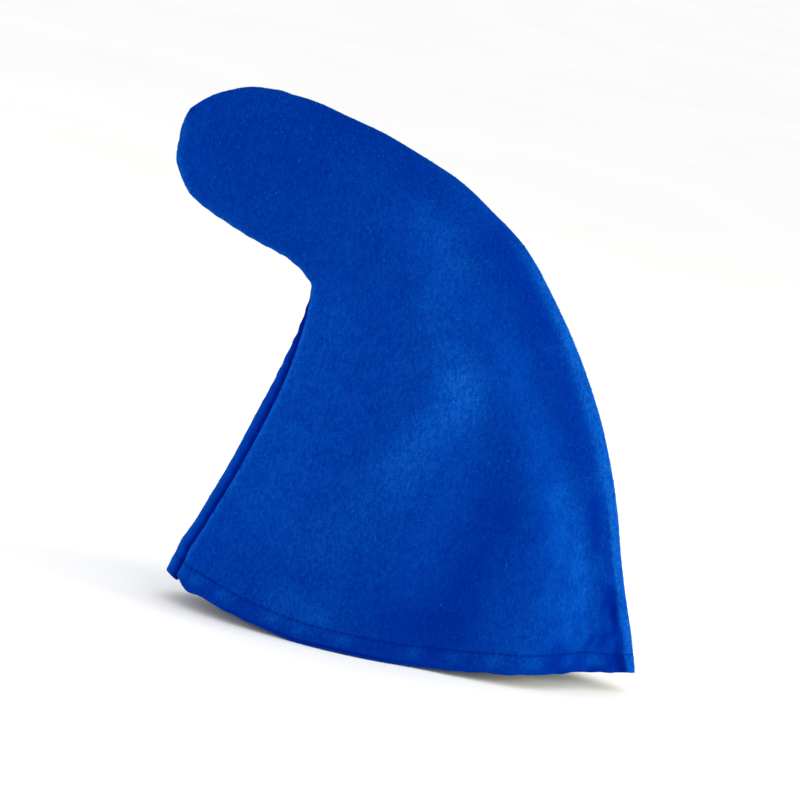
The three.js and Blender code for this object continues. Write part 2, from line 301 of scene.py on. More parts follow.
def noise(points, size, seed):
    """Smooth noise from -1 to 1 at points, with features of about the given size."""
    lattice = np.random.default_rng(seed).uniform(-1, 1, (LATTICE,) * points.shape[-1])
    cell = points / size + 1000.0
    low = np.floor(cell).astype(int)
    part = smooth(cell - low)
    total = np.zeros(points.shape[:-1])
    for corner in np.ndindex(*(2,) * points.shape[-1]):
        weight = np.prod(np.where(corner, part, 1 - part), axis=-1)
        total += weight * lattice[tuple(((low + corner) % LATTICE)[..., axis] for axis in range(len(corner)))]
    return total


print("noise at the origin:", round(float(noise(np.zeros((1, 3)), 8.0, 1)[0]), 3))

# %% [markdown]
# ## Marks of the seam and the hem
# The seam and the hem leave their marks on the outside. The seam allowances lie open inside and raise a
# band along the back, crisp near the hem and softer above. The hem's stitches draw the felt in, and it
# puffs up between them. The back corner, where the hat is gripped and folded, is a little crumpled. Such
# marks could be sculpted by hand. Here each is a function of the distances to the seam and to the hem,
# because that is how a maker would point it out. In the values below a place is a middle and a width, a
# fade is a start and a width, a hill is a height with its place, and a layer of noise is a strength, a
# size and a seed.

# %% Marks of the seam and the hem
STITCH_LINE = 11.6
STITCH_PITCH = 4.3
EDGE_ROUND = 1.4
STEP_WIDTH = 0.7
HEM_MIDDLE = STITCH_LINE - 4
PUFFED_HEM = (HEM_MIDDLE, 3.5)
HEM_PUFFS = (12, 32, 63, 79, 104, 143, 166, 189, 213, 236, 256)
PUFF_WIDTH = 5.0
BAND_SOFTENS, BAND_ENDS = (85.0, 40.0), (230.0, 45.0)
CRISP_EDGE, SOFT_EDGE = 2.0, 7.0
BAND_SWELL = ((3.5, 150.0, 60.0),)
BAND_WANDER, WANDER_ENDS = ((1.1, 6.0, 9), (0.8, 15.0, 10)), (30.0, 90.0)
CRUMPLED_BACK, CRUMPLES_END = (32.0, 26.0), (30.0, 130.0)
CRUMPLE_LUMPS, CRUMPLE_STRETCH = ((1.0, 8.0, 33), (0.8, 4.5, 34)), 0.8


def bump(value, middle, width):
    """A soft hill of height 1."""
    return np.exp(-((value - middle) / width) ** 2)


def hills(value, table):
    """Sum of soft hills, each with its own height, middle and width."""
    return sum(top * bump(value, middle, width) for top, middle, width in table)


def fade_out(value, start, width):
    """1 up to a start, and 0 from a width beyond it."""
    return 1 - smooth((value - start) / width)


def layers(points, table, seed=0):
    """Sum of noises, each with its own strength, size and seed."""
    return sum(strength * noise(points, size, seed + own) for strength, size, own in table)


def rounding(distance):
    """How far a rolled edge draws the surface in, at a distance from it."""
    return EDGE_ROUND * (1 - np.sqrt(1 - (1 - np.clip(distance / EDGE_ROUND, 0, 1)) ** 2))


def hem_puffs(place, height):
    """1 where the felt puffs up between the stitches and the rim."""
    along = np.max([bump(place, puff, PUFF_WIDTH) for puff in HEM_PUFFS], axis=0)
    return along * bump(height, *PUFFED_HEM)


def back_band(to_back, height):
    """1 over the seam allowance along the back, crisp near the hem and softer and wider above."""
    crisp = fade_out(height, *BAND_SOFTENS)
    edge = SEAM_ALLOWANCE + layers(height[..., None], BAND_WANDER) * fade_out(height, *WANDER_ENDS)
    edge += hills(height, BAND_SWELL) * (1 - crisp)
    softness = CRISP_EDGE + (SOFT_EDGE - CRISP_EDGE) * (1 - crisp)
    return smooth((edge - to_back) / softness + 0.5) * fade_out(height, *BAND_ENDS)


def crumples(place, to_back, height):
    """Small hollows and lumps from about -1 to 1 near the back corner."""
    lumps = layers(np.stack([place, height * CRUMPLE_STRETCH], axis=-1), CRUMPLE_LUMPS)
    return lumps * bump(to_back, *CRUMPLED_BACK) * fade_out(height, *CRUMPLES_END)


print("edge drawn in at the rim and half way round:", rounding(np.array([0.0, EDGE_ROUND / 2])).round(2))

# %% [markdown]
# ## Relief
# The marks add up to a height map over the smooth form. The stitches lie in a groove with a beat for
# each of them, and the felt ripples beside it. The back has its raised band with a valley along it. The
# nose is scalloped where its seam was drawn up, and nothing is quite even in between. A height map
# from distances stays true to how the hat is made when a size changes, which a sculpted mesh wouldn't.
# Each row of `RIPPLES` is what the ripples are measured from, their place, a stretch and a layer of noise.

# %% Relief of a panel
GROOVE_DEPTH, GROOVE, STITCH_BEAT = 0.40, (STITCH_LINE, 1.0), 0.35
PUFF_HEIGHT, BAND_HEIGHT, CRUMPLE_HEIGHT = 0.60, 0.80, 0.28
VALLEY_DEPTH, VALLEY, VALLEY_ENDS = 0.50, (SEAM_ALLOWANCE + 4, 4.0), (60.0, 40.0)
SCALLOP_HEIGHT, SCALLOP_PITCH, SCALLOPED_NOSE = 0.28, 10.0, (2.0, 7.0)
NOSE_RIDGE, RIDGE_ENDS = 0.30, (SEAM_ALLOWANCE - 3, 3.0)
RIPPLES = (
    ("height", (HEM_MIDDLE, 7.0), (1, 3), (0.35, 9.0, 0)),
    ("height", (STITCH_LINE - 1, 5.0), (1, 4), (0.18, 4.0, 1)),
    ("to_back", (7.0, 6.0), (3, 1), (0.30, 11.0, 2)),
)
FELT_LUMPS = ((0.22, 16.0, 3), (0.10, 5.0, 4), (0.045, 2.2, 5))
LEFT_SEED, RIGHT_SEED = 20, 40


def panel_relief(side, tape):
    """Height of the outside above the smooth form, in millimetres."""
    place, to_back, height = tape["place"], tape["to_back"], tape["height"]
    cloth = np.stack([place, height], axis=-1)
    seed = LEFT_SEED if side < 0 else RIGHT_SEED
    stitched = smooth((place - 0.5) / 3) * smooth((to_back - 0.5) / 3)
    beat = 1 - STITCH_BEAT + STITCH_BEAT * np.cos(2 * np.pi * place / STITCH_PITCH)
    relief = -GROOVE_DEPTH * bump(height, *GROOVE) * beat * stitched
    relief += PUFF_HEIGHT * hem_puffs(place, height)
    relief += BAND_HEIGHT * back_band(to_back, height) * smooth(to_back / 3)
    relief -= VALLEY_DEPTH * bump(to_back, *VALLEY) * fade_out(height, *VALLEY_ENDS)
    scallops = np.cos(2 * np.pi * height / SCALLOP_PITCH) * bump(place, *SCALLOPED_NOSE)
    relief += SCALLOP_HEIGHT * scallops * smooth(height / 20)
    relief += NOSE_RIDGE * fade_out(place, *RIDGE_ENDS) * smooth(place / 2)
    relief += CRUMPLE_HEIGHT * crumples(place, to_back, height)
    for measure, where, stretch, layer in RIPPLES:
        relief += layers(cloth / stretch, (layer,), seed) * bump(tape[measure], *where)
    return relief + layers(tape["form"], FELT_LUMPS, seed)


print("groove and band:", -GROOVE_DEPTH, BAND_HEIGHT, "mm")

# %% [markdown]
# ## Painted light and shade
# The felt's colour is painted lighter where light would catch it: on ridges and flanks, on the hem's
# puffs, on the back band, on the rolled edge of the nose and on the crumples. It is painted darker where
# shade would fall: below the stitch line, in the stitches' groove, along the rim, at the nose seam, in the
# valley beside the band and in the hollows of the crumples. This could be painted on the mesh by hand too.
# The marks and the painted shading tables already say where it is, so it keeps in step with the relief.

# %% Painted light and shade of a panel
# Painted highlights on the back band and the puffs, painted shade below the stitch line, in the groove, along
# the rim and in the valley, and painted light and shade at the nose and on the crumples.
BAND_HIGHLIGHT, PUFF_HIGHLIGHT, CRUMPLE_SHADING = 1.0, 0.6, 0.35
HEM_SHADE, HEM_SHADE_ENDS = 0.2, (STITCH_LINE - 2, 3.0)
GROOVE_SHADE = ((0.25, STITCH_LINE, 0.9),)
RIM_SHADE, SHADED_STRETCH = ((0.8, 2.0, 0.7),), (100.0, 45.0)
LEFT_NOSE_SHADING, RIGHT_NOSE_SHADE = ((0.7, 2.2, 1.8), (-1.4, 0.0, 0.7)), ((-1.0, 0.0, 3.0),)
VALLEY_SHADE, VALLEY_UNEVENNESS, VALLEY_SHADE_ENDS = 0.65, ((0.35, 9.0, 11),), (40.0, 60.0)


def raised_nap(side, paths, tape):
    """How much lighter the felt's colour is painted where light would catch it, and darker where shade would
    fall.
    """
    place, to_back, height = tape["place"], tape["to_back"], tape["height"]
    nap = along_paths(paths, tape["form"][..., 0], tape["form"][..., 2])
    nap += BAND_HIGHLIGHT * back_band(to_back, height)
    nap += PUFF_HIGHLIGHT * hem_puffs(place, height) - HEM_SHADE * fade_out(height, *HEM_SHADE_ENDS)
    nap -= hills(height, GROOVE_SHADE) + hills(height, RIM_SHADE) * bump(place, *SHADED_STRETCH)
    nap += hills(place, LEFT_NOSE_SHADING if side < 0 else RIGHT_NOSE_SHADE)
    valley_shading = VALLEY_SHADE + layers(height[..., None], VALLEY_UNEVENNESS)
    nap -= valley_shading * bump(to_back, *VALLEY) * fade_out(height, *VALLEY_SHADE_ENDS)
    return nap + CRUMPLE_SHADING * crumples(place, to_back, height)


print("nap on the band and along the valley beside it:", BAND_HIGHLIGHT, -VALLEY_SHADE)

# %% [markdown]
# ## A hand-guided seam
# The seam of the real hat isn't a clean curve. Round the blunt tip its turned-in allowance bunches, so
# that the outline has a few flat places and soft corners: each row of `TIP_CORNERS` is an angle in
# degrees round the tip and a push in millimetres. Along the front and the back the seam wanders out
# where it was sewn a little nearer to the edge: each row of the ease tables is a hill with its push, its
# distance from the hem and its width. A curve drawn by hand could do the same, but these few numbers
# stay with the hat's own sizes. Those of the tip are, to within half a millimetre, what a separate script
# measured between the photograph's outline and the smooth form. Those of the ease tables were chosen from
# differences between the photograph's outline and a rendered one.

# %% Tip and seam
TIP_CORNERS = np.array([
    (-90, 0.0), (-71, 0.0), (-55, 0.9), (-39, 0.1), (-29, 0.4), (-13, -0.7), (1, 1.0),
    (11, 2.0), (27, 0.4), (45, -1.0), (62, -0.7), (80, -1.2), (90, 0.0),
])
FRONT_EASE = ((1.4, 20, 9), (0.8, 193, 10), (0.7, 228, 18))
BACK_EASE = ((0.4, 3, 6), (2.4, 26, 28), (1.2, 105, 35), (1.2, 305, 25), (1.1, 362, 24), (1.4, 405, 16))
EASE_SHARE = 0.4
FACET_START = 0.25


def tip_facets(points, tip_turn):
    """Push the blunt tip in and out at the few places where its seam allowance bunches."""
    base = section_point(np.full(1, float(LAST_SECTION)), np.zeros(1), np.array([[0.0, np.pi]]), 0.0)[0]
    middle = base.mean(axis=0)
    forward = (tip - middle) / np.linalg.norm(tip - middle)
    offset = points - middle
    radius = np.hypot(offset[..., 0], offset[..., 2])
    upward = -offset[..., 0] * forward[2] + offset[..., 2] * forward[0]
    angle = np.degrees(np.arctan2(-upward, offset[..., 0] * forward[0] + offset[..., 2] * forward[2]))
    angles, pushes = TIP_CORNERS.T
    push = np.interp(angle, angles, pushes) * smooth(tip_turn[:, None] / FACET_START)
    scale = push * smooth(radius / TIP_LENGTH) ** 3 / np.maximum(radius, 1.0)
    return offset * np.stack([scale, np.zeros_like(scale), scale], axis=-1)


def seam_ease(level, turn, height):
    """How far the hand-guided seam wanders out from the smooth form, along each section."""
    share = (1 - np.cos(turn)) / 2
    near_front, near_back = fade_out(share, 0, EASE_SHARE), fade_out(1 - share, 0, EASE_SHARE)
    shift = near_back * hills(height, BACK_EASE) - near_front * hills(height, FRONT_EASE)
    slope = np.radians(column("tilt", level))[:, None]
    return np.stack([np.cos(slope) * shift, np.zeros_like(shift), np.sin(slope) * shift], axis=-1)


print("largest push at the tip and along the back:", TIP_CORNERS[:, 1].max(), max(BACK_EASE)[0], "mm")

# %% [markdown]
# ## One panel
# Each panel is a piece of felt on a grid of rows and columns. First the folded form is measured with a
# tape, as a tailor would: how far each point is from the front seam, from the back seam and from the hem.
# On the round tip all columns run together, so there a column keeps only a share of its distance to the
# seam. Every later step works from these measures.

# %% Measures of a panel
def kept_distance(turn, tip_turn):
    """The share of its distance to the seam that a column keeps at each row, 1 below the round tip."""
    reach = np.abs(np.cos(turn))
    shrink, advance = np.cos(tip_turn * np.pi / 2)[:, None], np.sin(tip_turn * np.pi / 2)[:, None]
    ring = np.sqrt((reach * shrink) ** 2 + advance ** 2)
    return np.where(tip_turn[:, None] > 0, (1 - ring) / np.maximum(1 - reach, 1e-4), 1.0)


def measure_panel(side, folds):
    """The folded form of a panel without relief, with the push of its folds and the tape measures."""
    turn, place, length = panel_turns(side, ROW_LEVELS)
    form = section_point(ROW_LEVELS, ROW_TIP_TURNS, turn, 0.0)
    kept = kept_distance(turn, ROW_TIP_TURNS)
    place = place * kept
    to_back = (length - place / np.maximum(kept, 1e-6)) * kept
    to_seam = np.minimum(place, to_back)
    push = side * np.cos(ROW_TIP_TURNS * np.pi / 2)[:, None] * smooth(to_seam / FOLD_FADE)
    push = push * FOLD_HEIGHT * along_paths(folds, form[..., 0], form[..., 2])
    form[..., 1] += push
    rise = np.linalg.norm(np.diff(form, axis=0), axis=-1)
    height = np.concatenate([np.zeros((1, rise.shape[1])), np.cumsum(rise, axis=0)])
    normal = side * np.cross(np.gradient(form, axis=0), np.gradient(form, axis=1))
    normal /= np.maximum(np.linalg.norm(normal, axis=-1, keepdims=True), 1e-9)
    return {"form": form, "push": push, "turn": turn, "normal": normal, "place": place,
            "to_back": to_back, "to_seam": to_seam, "height": height}


left_tape, right_tape = measure_panel(-1, LEFT_FOLDS), measure_panel(1, RIGHT_FOLDS)
for tape in (left_tape, right_tape):
    print("rim and front seam:", round(tape["place"][0, -1]), round(tape["height"][-1, 0]), "mm")

# %% [markdown]
# ## The hem's lower edge
# A turned-up hem is never quite straight. It waves a little, and on the left side the nose is drawn up
# where the two seams meet it. What would sink below the floor is pressed flat on it, as a soft rim is
# when the hat stands.

# %% The hem's lower edge
HEM_WAVES, WAVE_SIZE, WAVE_FADE = 0.45, 7.0, 6.0
LEFT_WAVE_SEED, RIGHT_WAVE_SEED = 61, 71
DRAWN_NOSE = ((2.9, 0.0, 4.5), (-1.8, 9.5, 5.0))


def seat_hem(face, side, tape):
    """Shape the hem's lower edge and keep it on the floor."""
    place, to_back = tape["place"], tape["to_back"]
    near_hem = fade_out(tape["height"], 0, HEM_TURN_UP)
    cloth = np.stack([place, np.zeros_like(place)], axis=-1)
    waves = HEM_WAVES * noise(cloth, WAVE_SIZE, LEFT_WAVE_SEED if side < 0 else RIGHT_WAVE_SEED)
    face[..., 2] += waves * near_hem * smooth(place / WAVE_FADE) * smooth(to_back / WAVE_FADE)
    if side < 0:
        face[..., 2] += hills(place, DRAWN_NOSE) * near_hem
    face[..., 2] = np.maximum(face[..., 2], 0.0)


print("the nose is drawn up by", round(float(hills(0.0, DRAWN_NOSE)), 1), "mm at its seam")

# %% [markdown]
# ## The wall
# The outside and the inside share one grid. The depth between them is one layer of felt, or two where
# the felt is turned in, with a clear step at each raw edge. Both faces draw together at the rim and at
# the seam, which gives the rolled edges of folded felt. At the seam the relief and the small gap of the
# solids fade out, so that the two panels meet on one common line, as sewn felt does, and no light comes
# through between them. Solidify would give a wall too, but no turned-in edges.

# %% Outside and inside of a panel
SEAM_FADE = 1.5
INSIDE_RELIEF = 0.6


def add_walls(side, nap_paths, tape):
    """Add the outside and inside points of a panel to its measures, and its painted light and shade."""
    turn, height, to_seam = tape["turn"], tape["height"], tape["to_seam"]
    edge = np.maximum(rounding(to_seam), rounding(height))
    turned_in = np.maximum(smooth((HEM_TURN_UP - height) / STEP_WIDTH + 0.5),
                           smooth((SEAM_ALLOWANCE - to_seam) / STEP_WIDTH + 0.5))
    wall = FELT_THICKNESS * (1 + turned_in)
    tape["outside"] = section_point(ROW_LEVELS, ROW_TIP_TURNS, turn, edge)
    tape["inside"] = section_point(ROW_LEVELS, ROW_TIP_TURNS, turn, wall - edge)
    parted = smooth(to_seam / SEAM_FADE)
    relief = panel_relief(side, tape) * parted
    wander = tip_facets(tape["form"], ROW_TIP_TURNS) + seam_ease(ROW_LEVELS, turn, height)
    for name, strength in (("outside", 1.0), ("inside", INSIDE_RELIEF)):
        face = tape[name]
        face[..., 1] += tape["push"] + side * SEAM_GAP / 2 * parted
        face += wander + tape["normal"] * (relief * strength)[..., None]
        seat_hem(face, side, tape)
    tape["nap"] = raised_nap(side, nap_paths, tape)


add_walls(-1, LEFT_PAINTED_SHADING, left_tape)
add_walls(1, RIGHT_PAINTED_SHADING, right_tape)
sides = [tape["outside"][..., 1] for tape in (left_tape, right_tape)]
print("width of the felt:", round(np.ptp(sides)), "mm")

# %% [markdown]
# ## From points to a mesh
# A shell is the grid of the outside, the grid of the inside turned round, a strip along the hem, a strip
# along each seam edge, and a fan that closes the tip. The list of its faces goes to `from_pydata`.
# Faces of four corners follow the felt's own directions, so the shading stays even on the folds.

# %% Faces of a closed shell
def grid_faces(rows, columns, base, flip):
    """Quads of a grid of points, counted from base."""
    corner = base + (np.arange(rows - 1)[:, None] * columns + np.arange(columns - 1)).ravel()
    quads = np.stack([corner, corner + 1, corner + columns + 1, corner + columns], axis=1)
    return quads[:, ::-1] if flip else quads


def strip_faces(first, second, flip):
    """Quads between two equal lists of points."""
    quads = np.stack([first[:-1], second[:-1], second[1:], first[1:]], axis=1)
    return quads[:, ::-1] if flip else quads


def tip_faces(last, count):
    """The fan that closes the tip: the last row, outside and inside, and a point for each."""
    outer_pole, inner_pole = 2 * count, 2 * count + 1
    fan = []
    for here, beside in zip(last, last[1:]):
        fan.append((here, beside, outer_pole))
        fan.append((beside + count, here + count, inner_pole))
    fan.append((last[0] + count, last[0], outer_pole, inner_pole))
    fan.append((last[-1], last[-1] + count, inner_pole, outer_pole))
    return fan


def shell_faces(rows, columns, turned):
    """All faces of a panel's shell, the outside first."""
    count = rows * columns
    grid = np.arange(count).reshape(rows, columns)
    quads = np.concatenate([
        grid_faces(rows, columns, 0, turned),
        grid_faces(rows, columns, count, not turned),
        strip_faces(grid[0], grid[0] + count, turned),
        strip_faces(grid[:, 0] + count, grid[:, 0], turned),
        strip_faces(grid[:, -1], grid[:, -1] + count, turned),
    ]).tolist()
    fan = [face[::-1] if turned else face for face in tip_faces(grid[-1].tolist(), count)]
    return quads + fan


print("faces of a shell with 3 rows and 4 columns:", len(shell_faces(3, 4, False)))

# %% [markdown]
# The UV map holds the tape measures in metres, and two attributes are kept. One, on the points, carries
# the painted light and shade to the finish. `loose`, on the faces, says how thickly loose fibres stand:
# on the outside alone, more where the painted shading is lighter and along the rims and ridges, and none
# where a fibre would poke through a seam or the floor.

# %% Measures and nap on the mesh
HEM_CLEARANCE, SEAM_CLEARANCE, NOSE_CLEARANCE = 3.0, 0.4, 2.0
FUZZY_BACK, FUZZY_FRONT = ((0.8, 0.0, 3.0), (0.48, 12.0, 14.0)), ((0.8, 0.0, 3.0),)
FUZZ_EVERYWHERE, LEAST_FUZZ, MOST_FUZZ = 0.3, 0.05, 1.4


def fibre_shares(tape):
    """How thickly fibres stand at each point, where 1 is the full density."""
    place, to_back, height = tape["place"], tape["to_back"], tape["height"]
    on_peak = height > BEND_HEIGHT
    fuzz = FUZZ_EVERYWHERE + tape["nap"] + hills(to_back, FUZZY_BACK) + hills(place, FUZZY_FRONT) * on_peak
    from_front = np.where(on_peak, SEAM_CLEARANCE, NOSE_CLEARANCE)
    free = (height > HEM_CLEARANCE) & (to_back > SEAM_CLEARANCE) & (place > from_front)
    return free * np.clip(fuzz, LEAST_FUZZ, MOST_FUZZ)


def write_values(mesh, name, domain, values):
    """Keep a number for each point or face of a mesh."""
    mesh.attributes.new(name, "FLOAT", domain).data.foreach_set("value", values.astype(np.float32))


def write_measures(mesh, tape):
    """Give a panel's mesh its UV map and its two attributes."""
    flat = np.stack([tape["place"], tape["height"]], axis=-1).reshape(-1, 2)
    flat = np.concatenate([flat, flat, flat[-1:], flat[-1:]]) * MM
    corners = np.empty(len(mesh.loops), dtype=np.int32)
    mesh.loops.foreach_get("vertex_index", corners)
    mesh.uv_layers.new(name="tape").data.foreach_set("uv", flat[corners].astype(np.float32).ravel())
    loose = fibre_shares(tape)[:-1, :-1].ravel()
    bare = np.zeros(len(mesh.polygons) - len(loose))
    write_values(mesh, "loose", "FACE", np.concatenate([loose, bare]))
    inside = np.zeros(len(mesh.vertices) - tape["nap"].size)
    # The painted light and shade goes on the outside's points; the inside gets none.
    write_values(mesh, "shading_paint", "POINT", np.concatenate([tape["nap"].ravel(), inside]))


print("most fuzz on the left panel:", fibre_shares(left_tape).max().round(2))

# %% [markdown]
# With the points, the faces and the measures ready, the two panels are made. Each object stays at the
# origin, because its place is in its mesh, and smooth shading hides the facets of the fine grid.

# %% The two felt panels
def build_panel(name, side, tape):
    """One felt panel as a closed mesh."""
    tip_level, tip_end = np.array([float(LAST_SECTION)]), np.array([1.0])
    poles = [section_point(tip_level, tip_end, np.zeros((1, 1)), depth)[0, 0]
             for depth in (EDGE_ROUND, 2 * FELT_THICKNESS - EDGE_ROUND)]
    points = np.concatenate([tape["outside"].reshape(-1, 3), tape["inside"].reshape(-1, 3), poles])
    mesh = bpy.data.meshes.new(name)
    mesh.from_pydata((points * MM).tolist(), [], shell_faces(*tape["place"].shape, side > 0))
    mesh.shade_smooth()
    write_measures(mesh, tape)
    mesh.validate()
    mesh.update()
    piece = bpy.data.objects.new(name, mesh)
    bpy.context.scene.collection.objects.link(piece)
    print(name, "faces:", len(mesh.polygons), "triangles:", sum(len(p.vertices) - 2 for p in mesh.polygons))
    return piece


left_felt = build_panel("left_felt", -1, left_tape)
right_felt = build_panel("right_felt", 1, right_tape)

# %% [markdown]
# ## Helpers for node trees
# A material and a Geometry Nodes tree are both built from nodes and links. They could be drawn by hand
# in the node editor, but a script shows each step. These helpers add a node, set or link its inputs by
# name, and work out sums, for both kinds of tree.

# %% Helpers for node trees
def fill(tree, socket, value):
    """Link a socket to another one, or give it a plain value."""
    if isinstance(value, bpy.types.NodeSocket):
        tree.links.new(value, socket)
    else:
        socket.default_value = value


def set_inputs(tree, node, **inputs):
    """Set or link inputs of a node by name, with an underscore for each space."""
    for key, value in inputs.items():
        fill(tree, node.inputs[key.replace("_", " ")], value)


def add_node(tree, kind, settings=None, **inputs):
    """Add a node with its settings and inputs."""
    made = tree.nodes.new(kind)
    for key, value in (settings or {}).items():
        setattr(made, key, value)
    set_inputs(tree, made, **inputs)
    return made


def calculate(tree, operation, *values):
    """The result of a math node on sockets or numbers."""
    step = add_node(tree, "ShaderNodeMath", {"operation": operation})
    for socket, value in zip(step.inputs, values):
        fill(tree, socket, value)
    return step.outputs[0]


def weighted_sum(tree, base, parts):
    """A base value plus a few values, each times its weight."""
    total = base
    for value, weight in parts:
        total = calculate(tree, "MULTIPLY_ADD", value, weight, total)
    return total


print("helpers:", [helper.__name__ for helper in (fill, set_inputs, add_node, calculate, weighted_sum)])

# %% [markdown]
# Every finish starts from the Principled shader and Object coordinates, which stay with the felt when
# the hat is moved. Thread, single fibres and the floor differ in scale and colour alone, so they share
# one helper. A plain colour could do for them, but a real surface is never quite even.

# %% Helpers for materials
def new_material(name):
    """An empty node material, its tree, its shader and the place in Object coordinates."""
    material = bpy.data.materials.new(name)
    material.use_nodes = True
    tree = material.node_tree
    place = add_node(tree, "ShaderNodeTexCoord").outputs["Object"]
    return material, tree, tree.nodes["Principled BSDF"], place


def colour_ramp(tree, value, stops):
    """A ramp through colours, each at a position on a value."""
    ramp = add_node(tree, "ShaderNodeValToRGB", Fac=value)
    elements = ramp.color_ramp.elements
    while len(elements) < len(stops):
        elements.new(0.5)
    for element, (position, colour) in zip(elements, stops):
        element.position = position
        element.color = (*colour, 1)
    return ramp.outputs["Color"]


def mottled_material(name, scale, colours, roughness, specular):
    """A plain finish in two close shades that a fine noise mixes."""
    material, tree, shader, place = new_material(name)
    mottle = add_node(tree, "ShaderNodeTexNoise", Vector=place, Scale=scale, Detail=2.0)
    set_inputs(tree, shader, Base_Color=colour_ramp(tree, mottle.outputs["Fac"], colours),
               Roughness=roughness, Specular_IOR_Level=specular)
    print(name, "nodes:", len(tree.nodes))
    return material


print("helpers:", [helper.__name__ for helper in (new_material, colour_ramp, mottled_material)])

# %% [markdown]
# ## Felt
# Felt is a mat of fibres with no weave. Its colour is uneven in soft patches, with short streaks where
# fibres lie together and fine specks where single ones catch the light. The painted light and shade of
# the mesh, an attribute on its points, makes the felt lighter where light would catch it and darker
# where shade would fall, and its streaks and specks stronger where it is lighter. A picture of felt
# could be wrapped round the hat, but it would stretch and repeat, and noise in Object coordinates
# doesn't. Felt also glows at grazing angles. That glow is the sheen of the Principled shader, and its
# numbers sit on the shader's own sockets.

# %% Felt material
# The darkest stop of the ramp serves the painted shade in the groove, the valley and at the seams.
FELT_COLOURS = (
    (0.01, (0.0001, 0.0058, 0.146)),
    (0.10, (0.0001, 0.0156, 0.230)),
    (0.26, (0.0005, 0.0448, 0.324)),
    (0.48, (0.0045, 0.0850, 0.455)),
)
# The painted light and shade moves the felt along its ramp, and strengthens its mottle where it is lighter.
BASE_TONE, PAINTED_SHADING_WEIGHT = 0.195, 0.175
STREAK_SHADE, SPECK_SHADE, PATCH_SHADE = 0.24, 0.14, 0.10
STREAK_SCALE, GRAIN_SCALE, PATCH_SCALE = 560.0, 1300.0, 90.0
STREAK_LEAN, STREAK_STRETCH = math.radians(-13.5), 0.55
SPECKS_FROM, SPECKS_TO = 0.52, 0.74
DARKEST_SHADING, LIGHTEST_SHADING = -0.5, 1.0
LEAST_CONTRAST, MOST_CONTRAST = 0.3, 2.5
LEAST_ROUGHNESS, MOST_ROUGHNESS = 0.50, 0.64
STREAK_DEPTH, GRAIN_DEPTH = 0.6, 0.25
SHEEN_COLOUR = (0.01, 0.44, 0.72, 1)


def felt_noises(tree, place):
    """The leaning streaks, the grain and the soft patches of felt."""
    lean = add_node(tree, "ShaderNodeMapping", Vector=place, Rotation=(0, STREAK_LEAN, 0),
                    Scale=(1, 1, STREAK_STRETCH))
    rows = ((lean.outputs[0], STREAK_SCALE, 3.0, 0.6), (place, GRAIN_SCALE, 2.0, 0.7),
            (place, PATCH_SCALE, 3.0, 0.6))
    return [add_node(tree, "ShaderNodeTexNoise", Vector=vector, Scale=scale, Detail=detail,
                     Roughness=roughness).outputs["Fac"] for vector, scale, detail, roughness in rows]


def felt_shade(tree, streaks, grain, patches):
    """How light the felt is, as a position on its ramp of colours."""
    # The painted light and shade on the points: above 0 painted lighter, below 0 painted darker.
    shading_paint = add_node(tree, "ShaderNodeAttribute", {"attribute_name": "shading_paint"}).outputs["Fac"]
    specks = add_node(tree, "ShaderNodeMapRange", Value=grain, From_Min=SPECKS_FROM, From_Max=SPECKS_TO)
    mottle = weighted_sum(tree, -BASE_TONE, (
        (streaks, STREAK_SHADE), (specks.outputs[0], SPECK_SHADE), (patches, PATCH_SHADE)))
    contrast = add_node(tree, "ShaderNodeMapRange", Value=shading_paint, From_Min=DARKEST_SHADING, From_Max=LIGHTEST_SHADING,
                        To_Min=LEAST_CONTRAST, To_Max=MOST_CONTRAST)
    lively = calculate(tree, "MULTIPLY", mottle, contrast.outputs[0])
    return weighted_sum(tree, BASE_TONE, ((shading_paint, PAINTED_SHADING_WEIGHT), (lively, 1.0)))


def felt_material(name):
    """Royal blue needled felt."""
    material, tree, shader, place = new_material(name)
    streaks, grain, patches = felt_noises(tree, place)
    colour = colour_ramp(tree, felt_shade(tree, streaks, grain, patches), FELT_COLOURS)
    rough = add_node(tree, "ShaderNodeMapRange", Value=streaks, To_Min=LEAST_ROUGHNESS,
                     To_Max=MOST_ROUGHNESS)
    bulk = add_node(tree, "ShaderNodeBump", Height=streaks, Strength=0.45, Distance=STREAK_DEPTH * MM)
    fine = add_node(tree, "ShaderNodeBump", Height=grain, Strength=0.35, Distance=GRAIN_DEPTH * MM,
                    Normal=bulk.outputs[0])
    set_inputs(tree, shader, Base_Color=colour, Roughness=rough.outputs[0], Normal=fine.outputs[0],
               Specular_IOR_Level=0.0, Sheen_Weight=0.36, Sheen_Roughness=0.4, Sheen_Tint=SHEEN_COLOUR)
    return material


felt = felt_material("royal_blue_felt")
for piece in (left_felt, right_felt):
    piece.data.materials.append(felt)
print("felt nodes:", len(felt.node_tree.nodes))

# %% [markdown]
# ## Thread and single fibres
# The hem is sewn with a thread that is darker than the felt. It looks darker still because it lies in its
# own groove, and the twist of its plies mottles it. A single fibre of the felt looks paler than the mass,
# because light goes through it. Both get a ramp of two blues over a fine noise.

# %% Thread and fibre materials
THREAD_COLOURS = ((0.35, (0.0002, 0.011, 0.14)), (0.7, (0.001, 0.028, 0.24)))
FIBRE_COLOURS = ((0.35, (0.001, 0.060, 0.38)), (0.7, (0.014, 0.210, 0.68)))
thread = mottled_material("blue_thread", 2400.0, THREAD_COLOURS, roughness=0.8, specular=0.0)
fibre = mottled_material("blue_fibre", 300.0, FIBRE_COLOURS, roughness=0.7, specular=0.0)

# %% [markdown]
# ## Helpers for Geometry Nodes
# Both trees of this hat put a small piece on many points, so they start and end alike. They start with
# named inputs, which are their sizes. They end by making the placed pieces real, because an export drops
# instances. `apply_tree` runs a tree on an object, with its inputs set by their identifiers before it is
# evaluated, and keeps the result as a plain mesh.

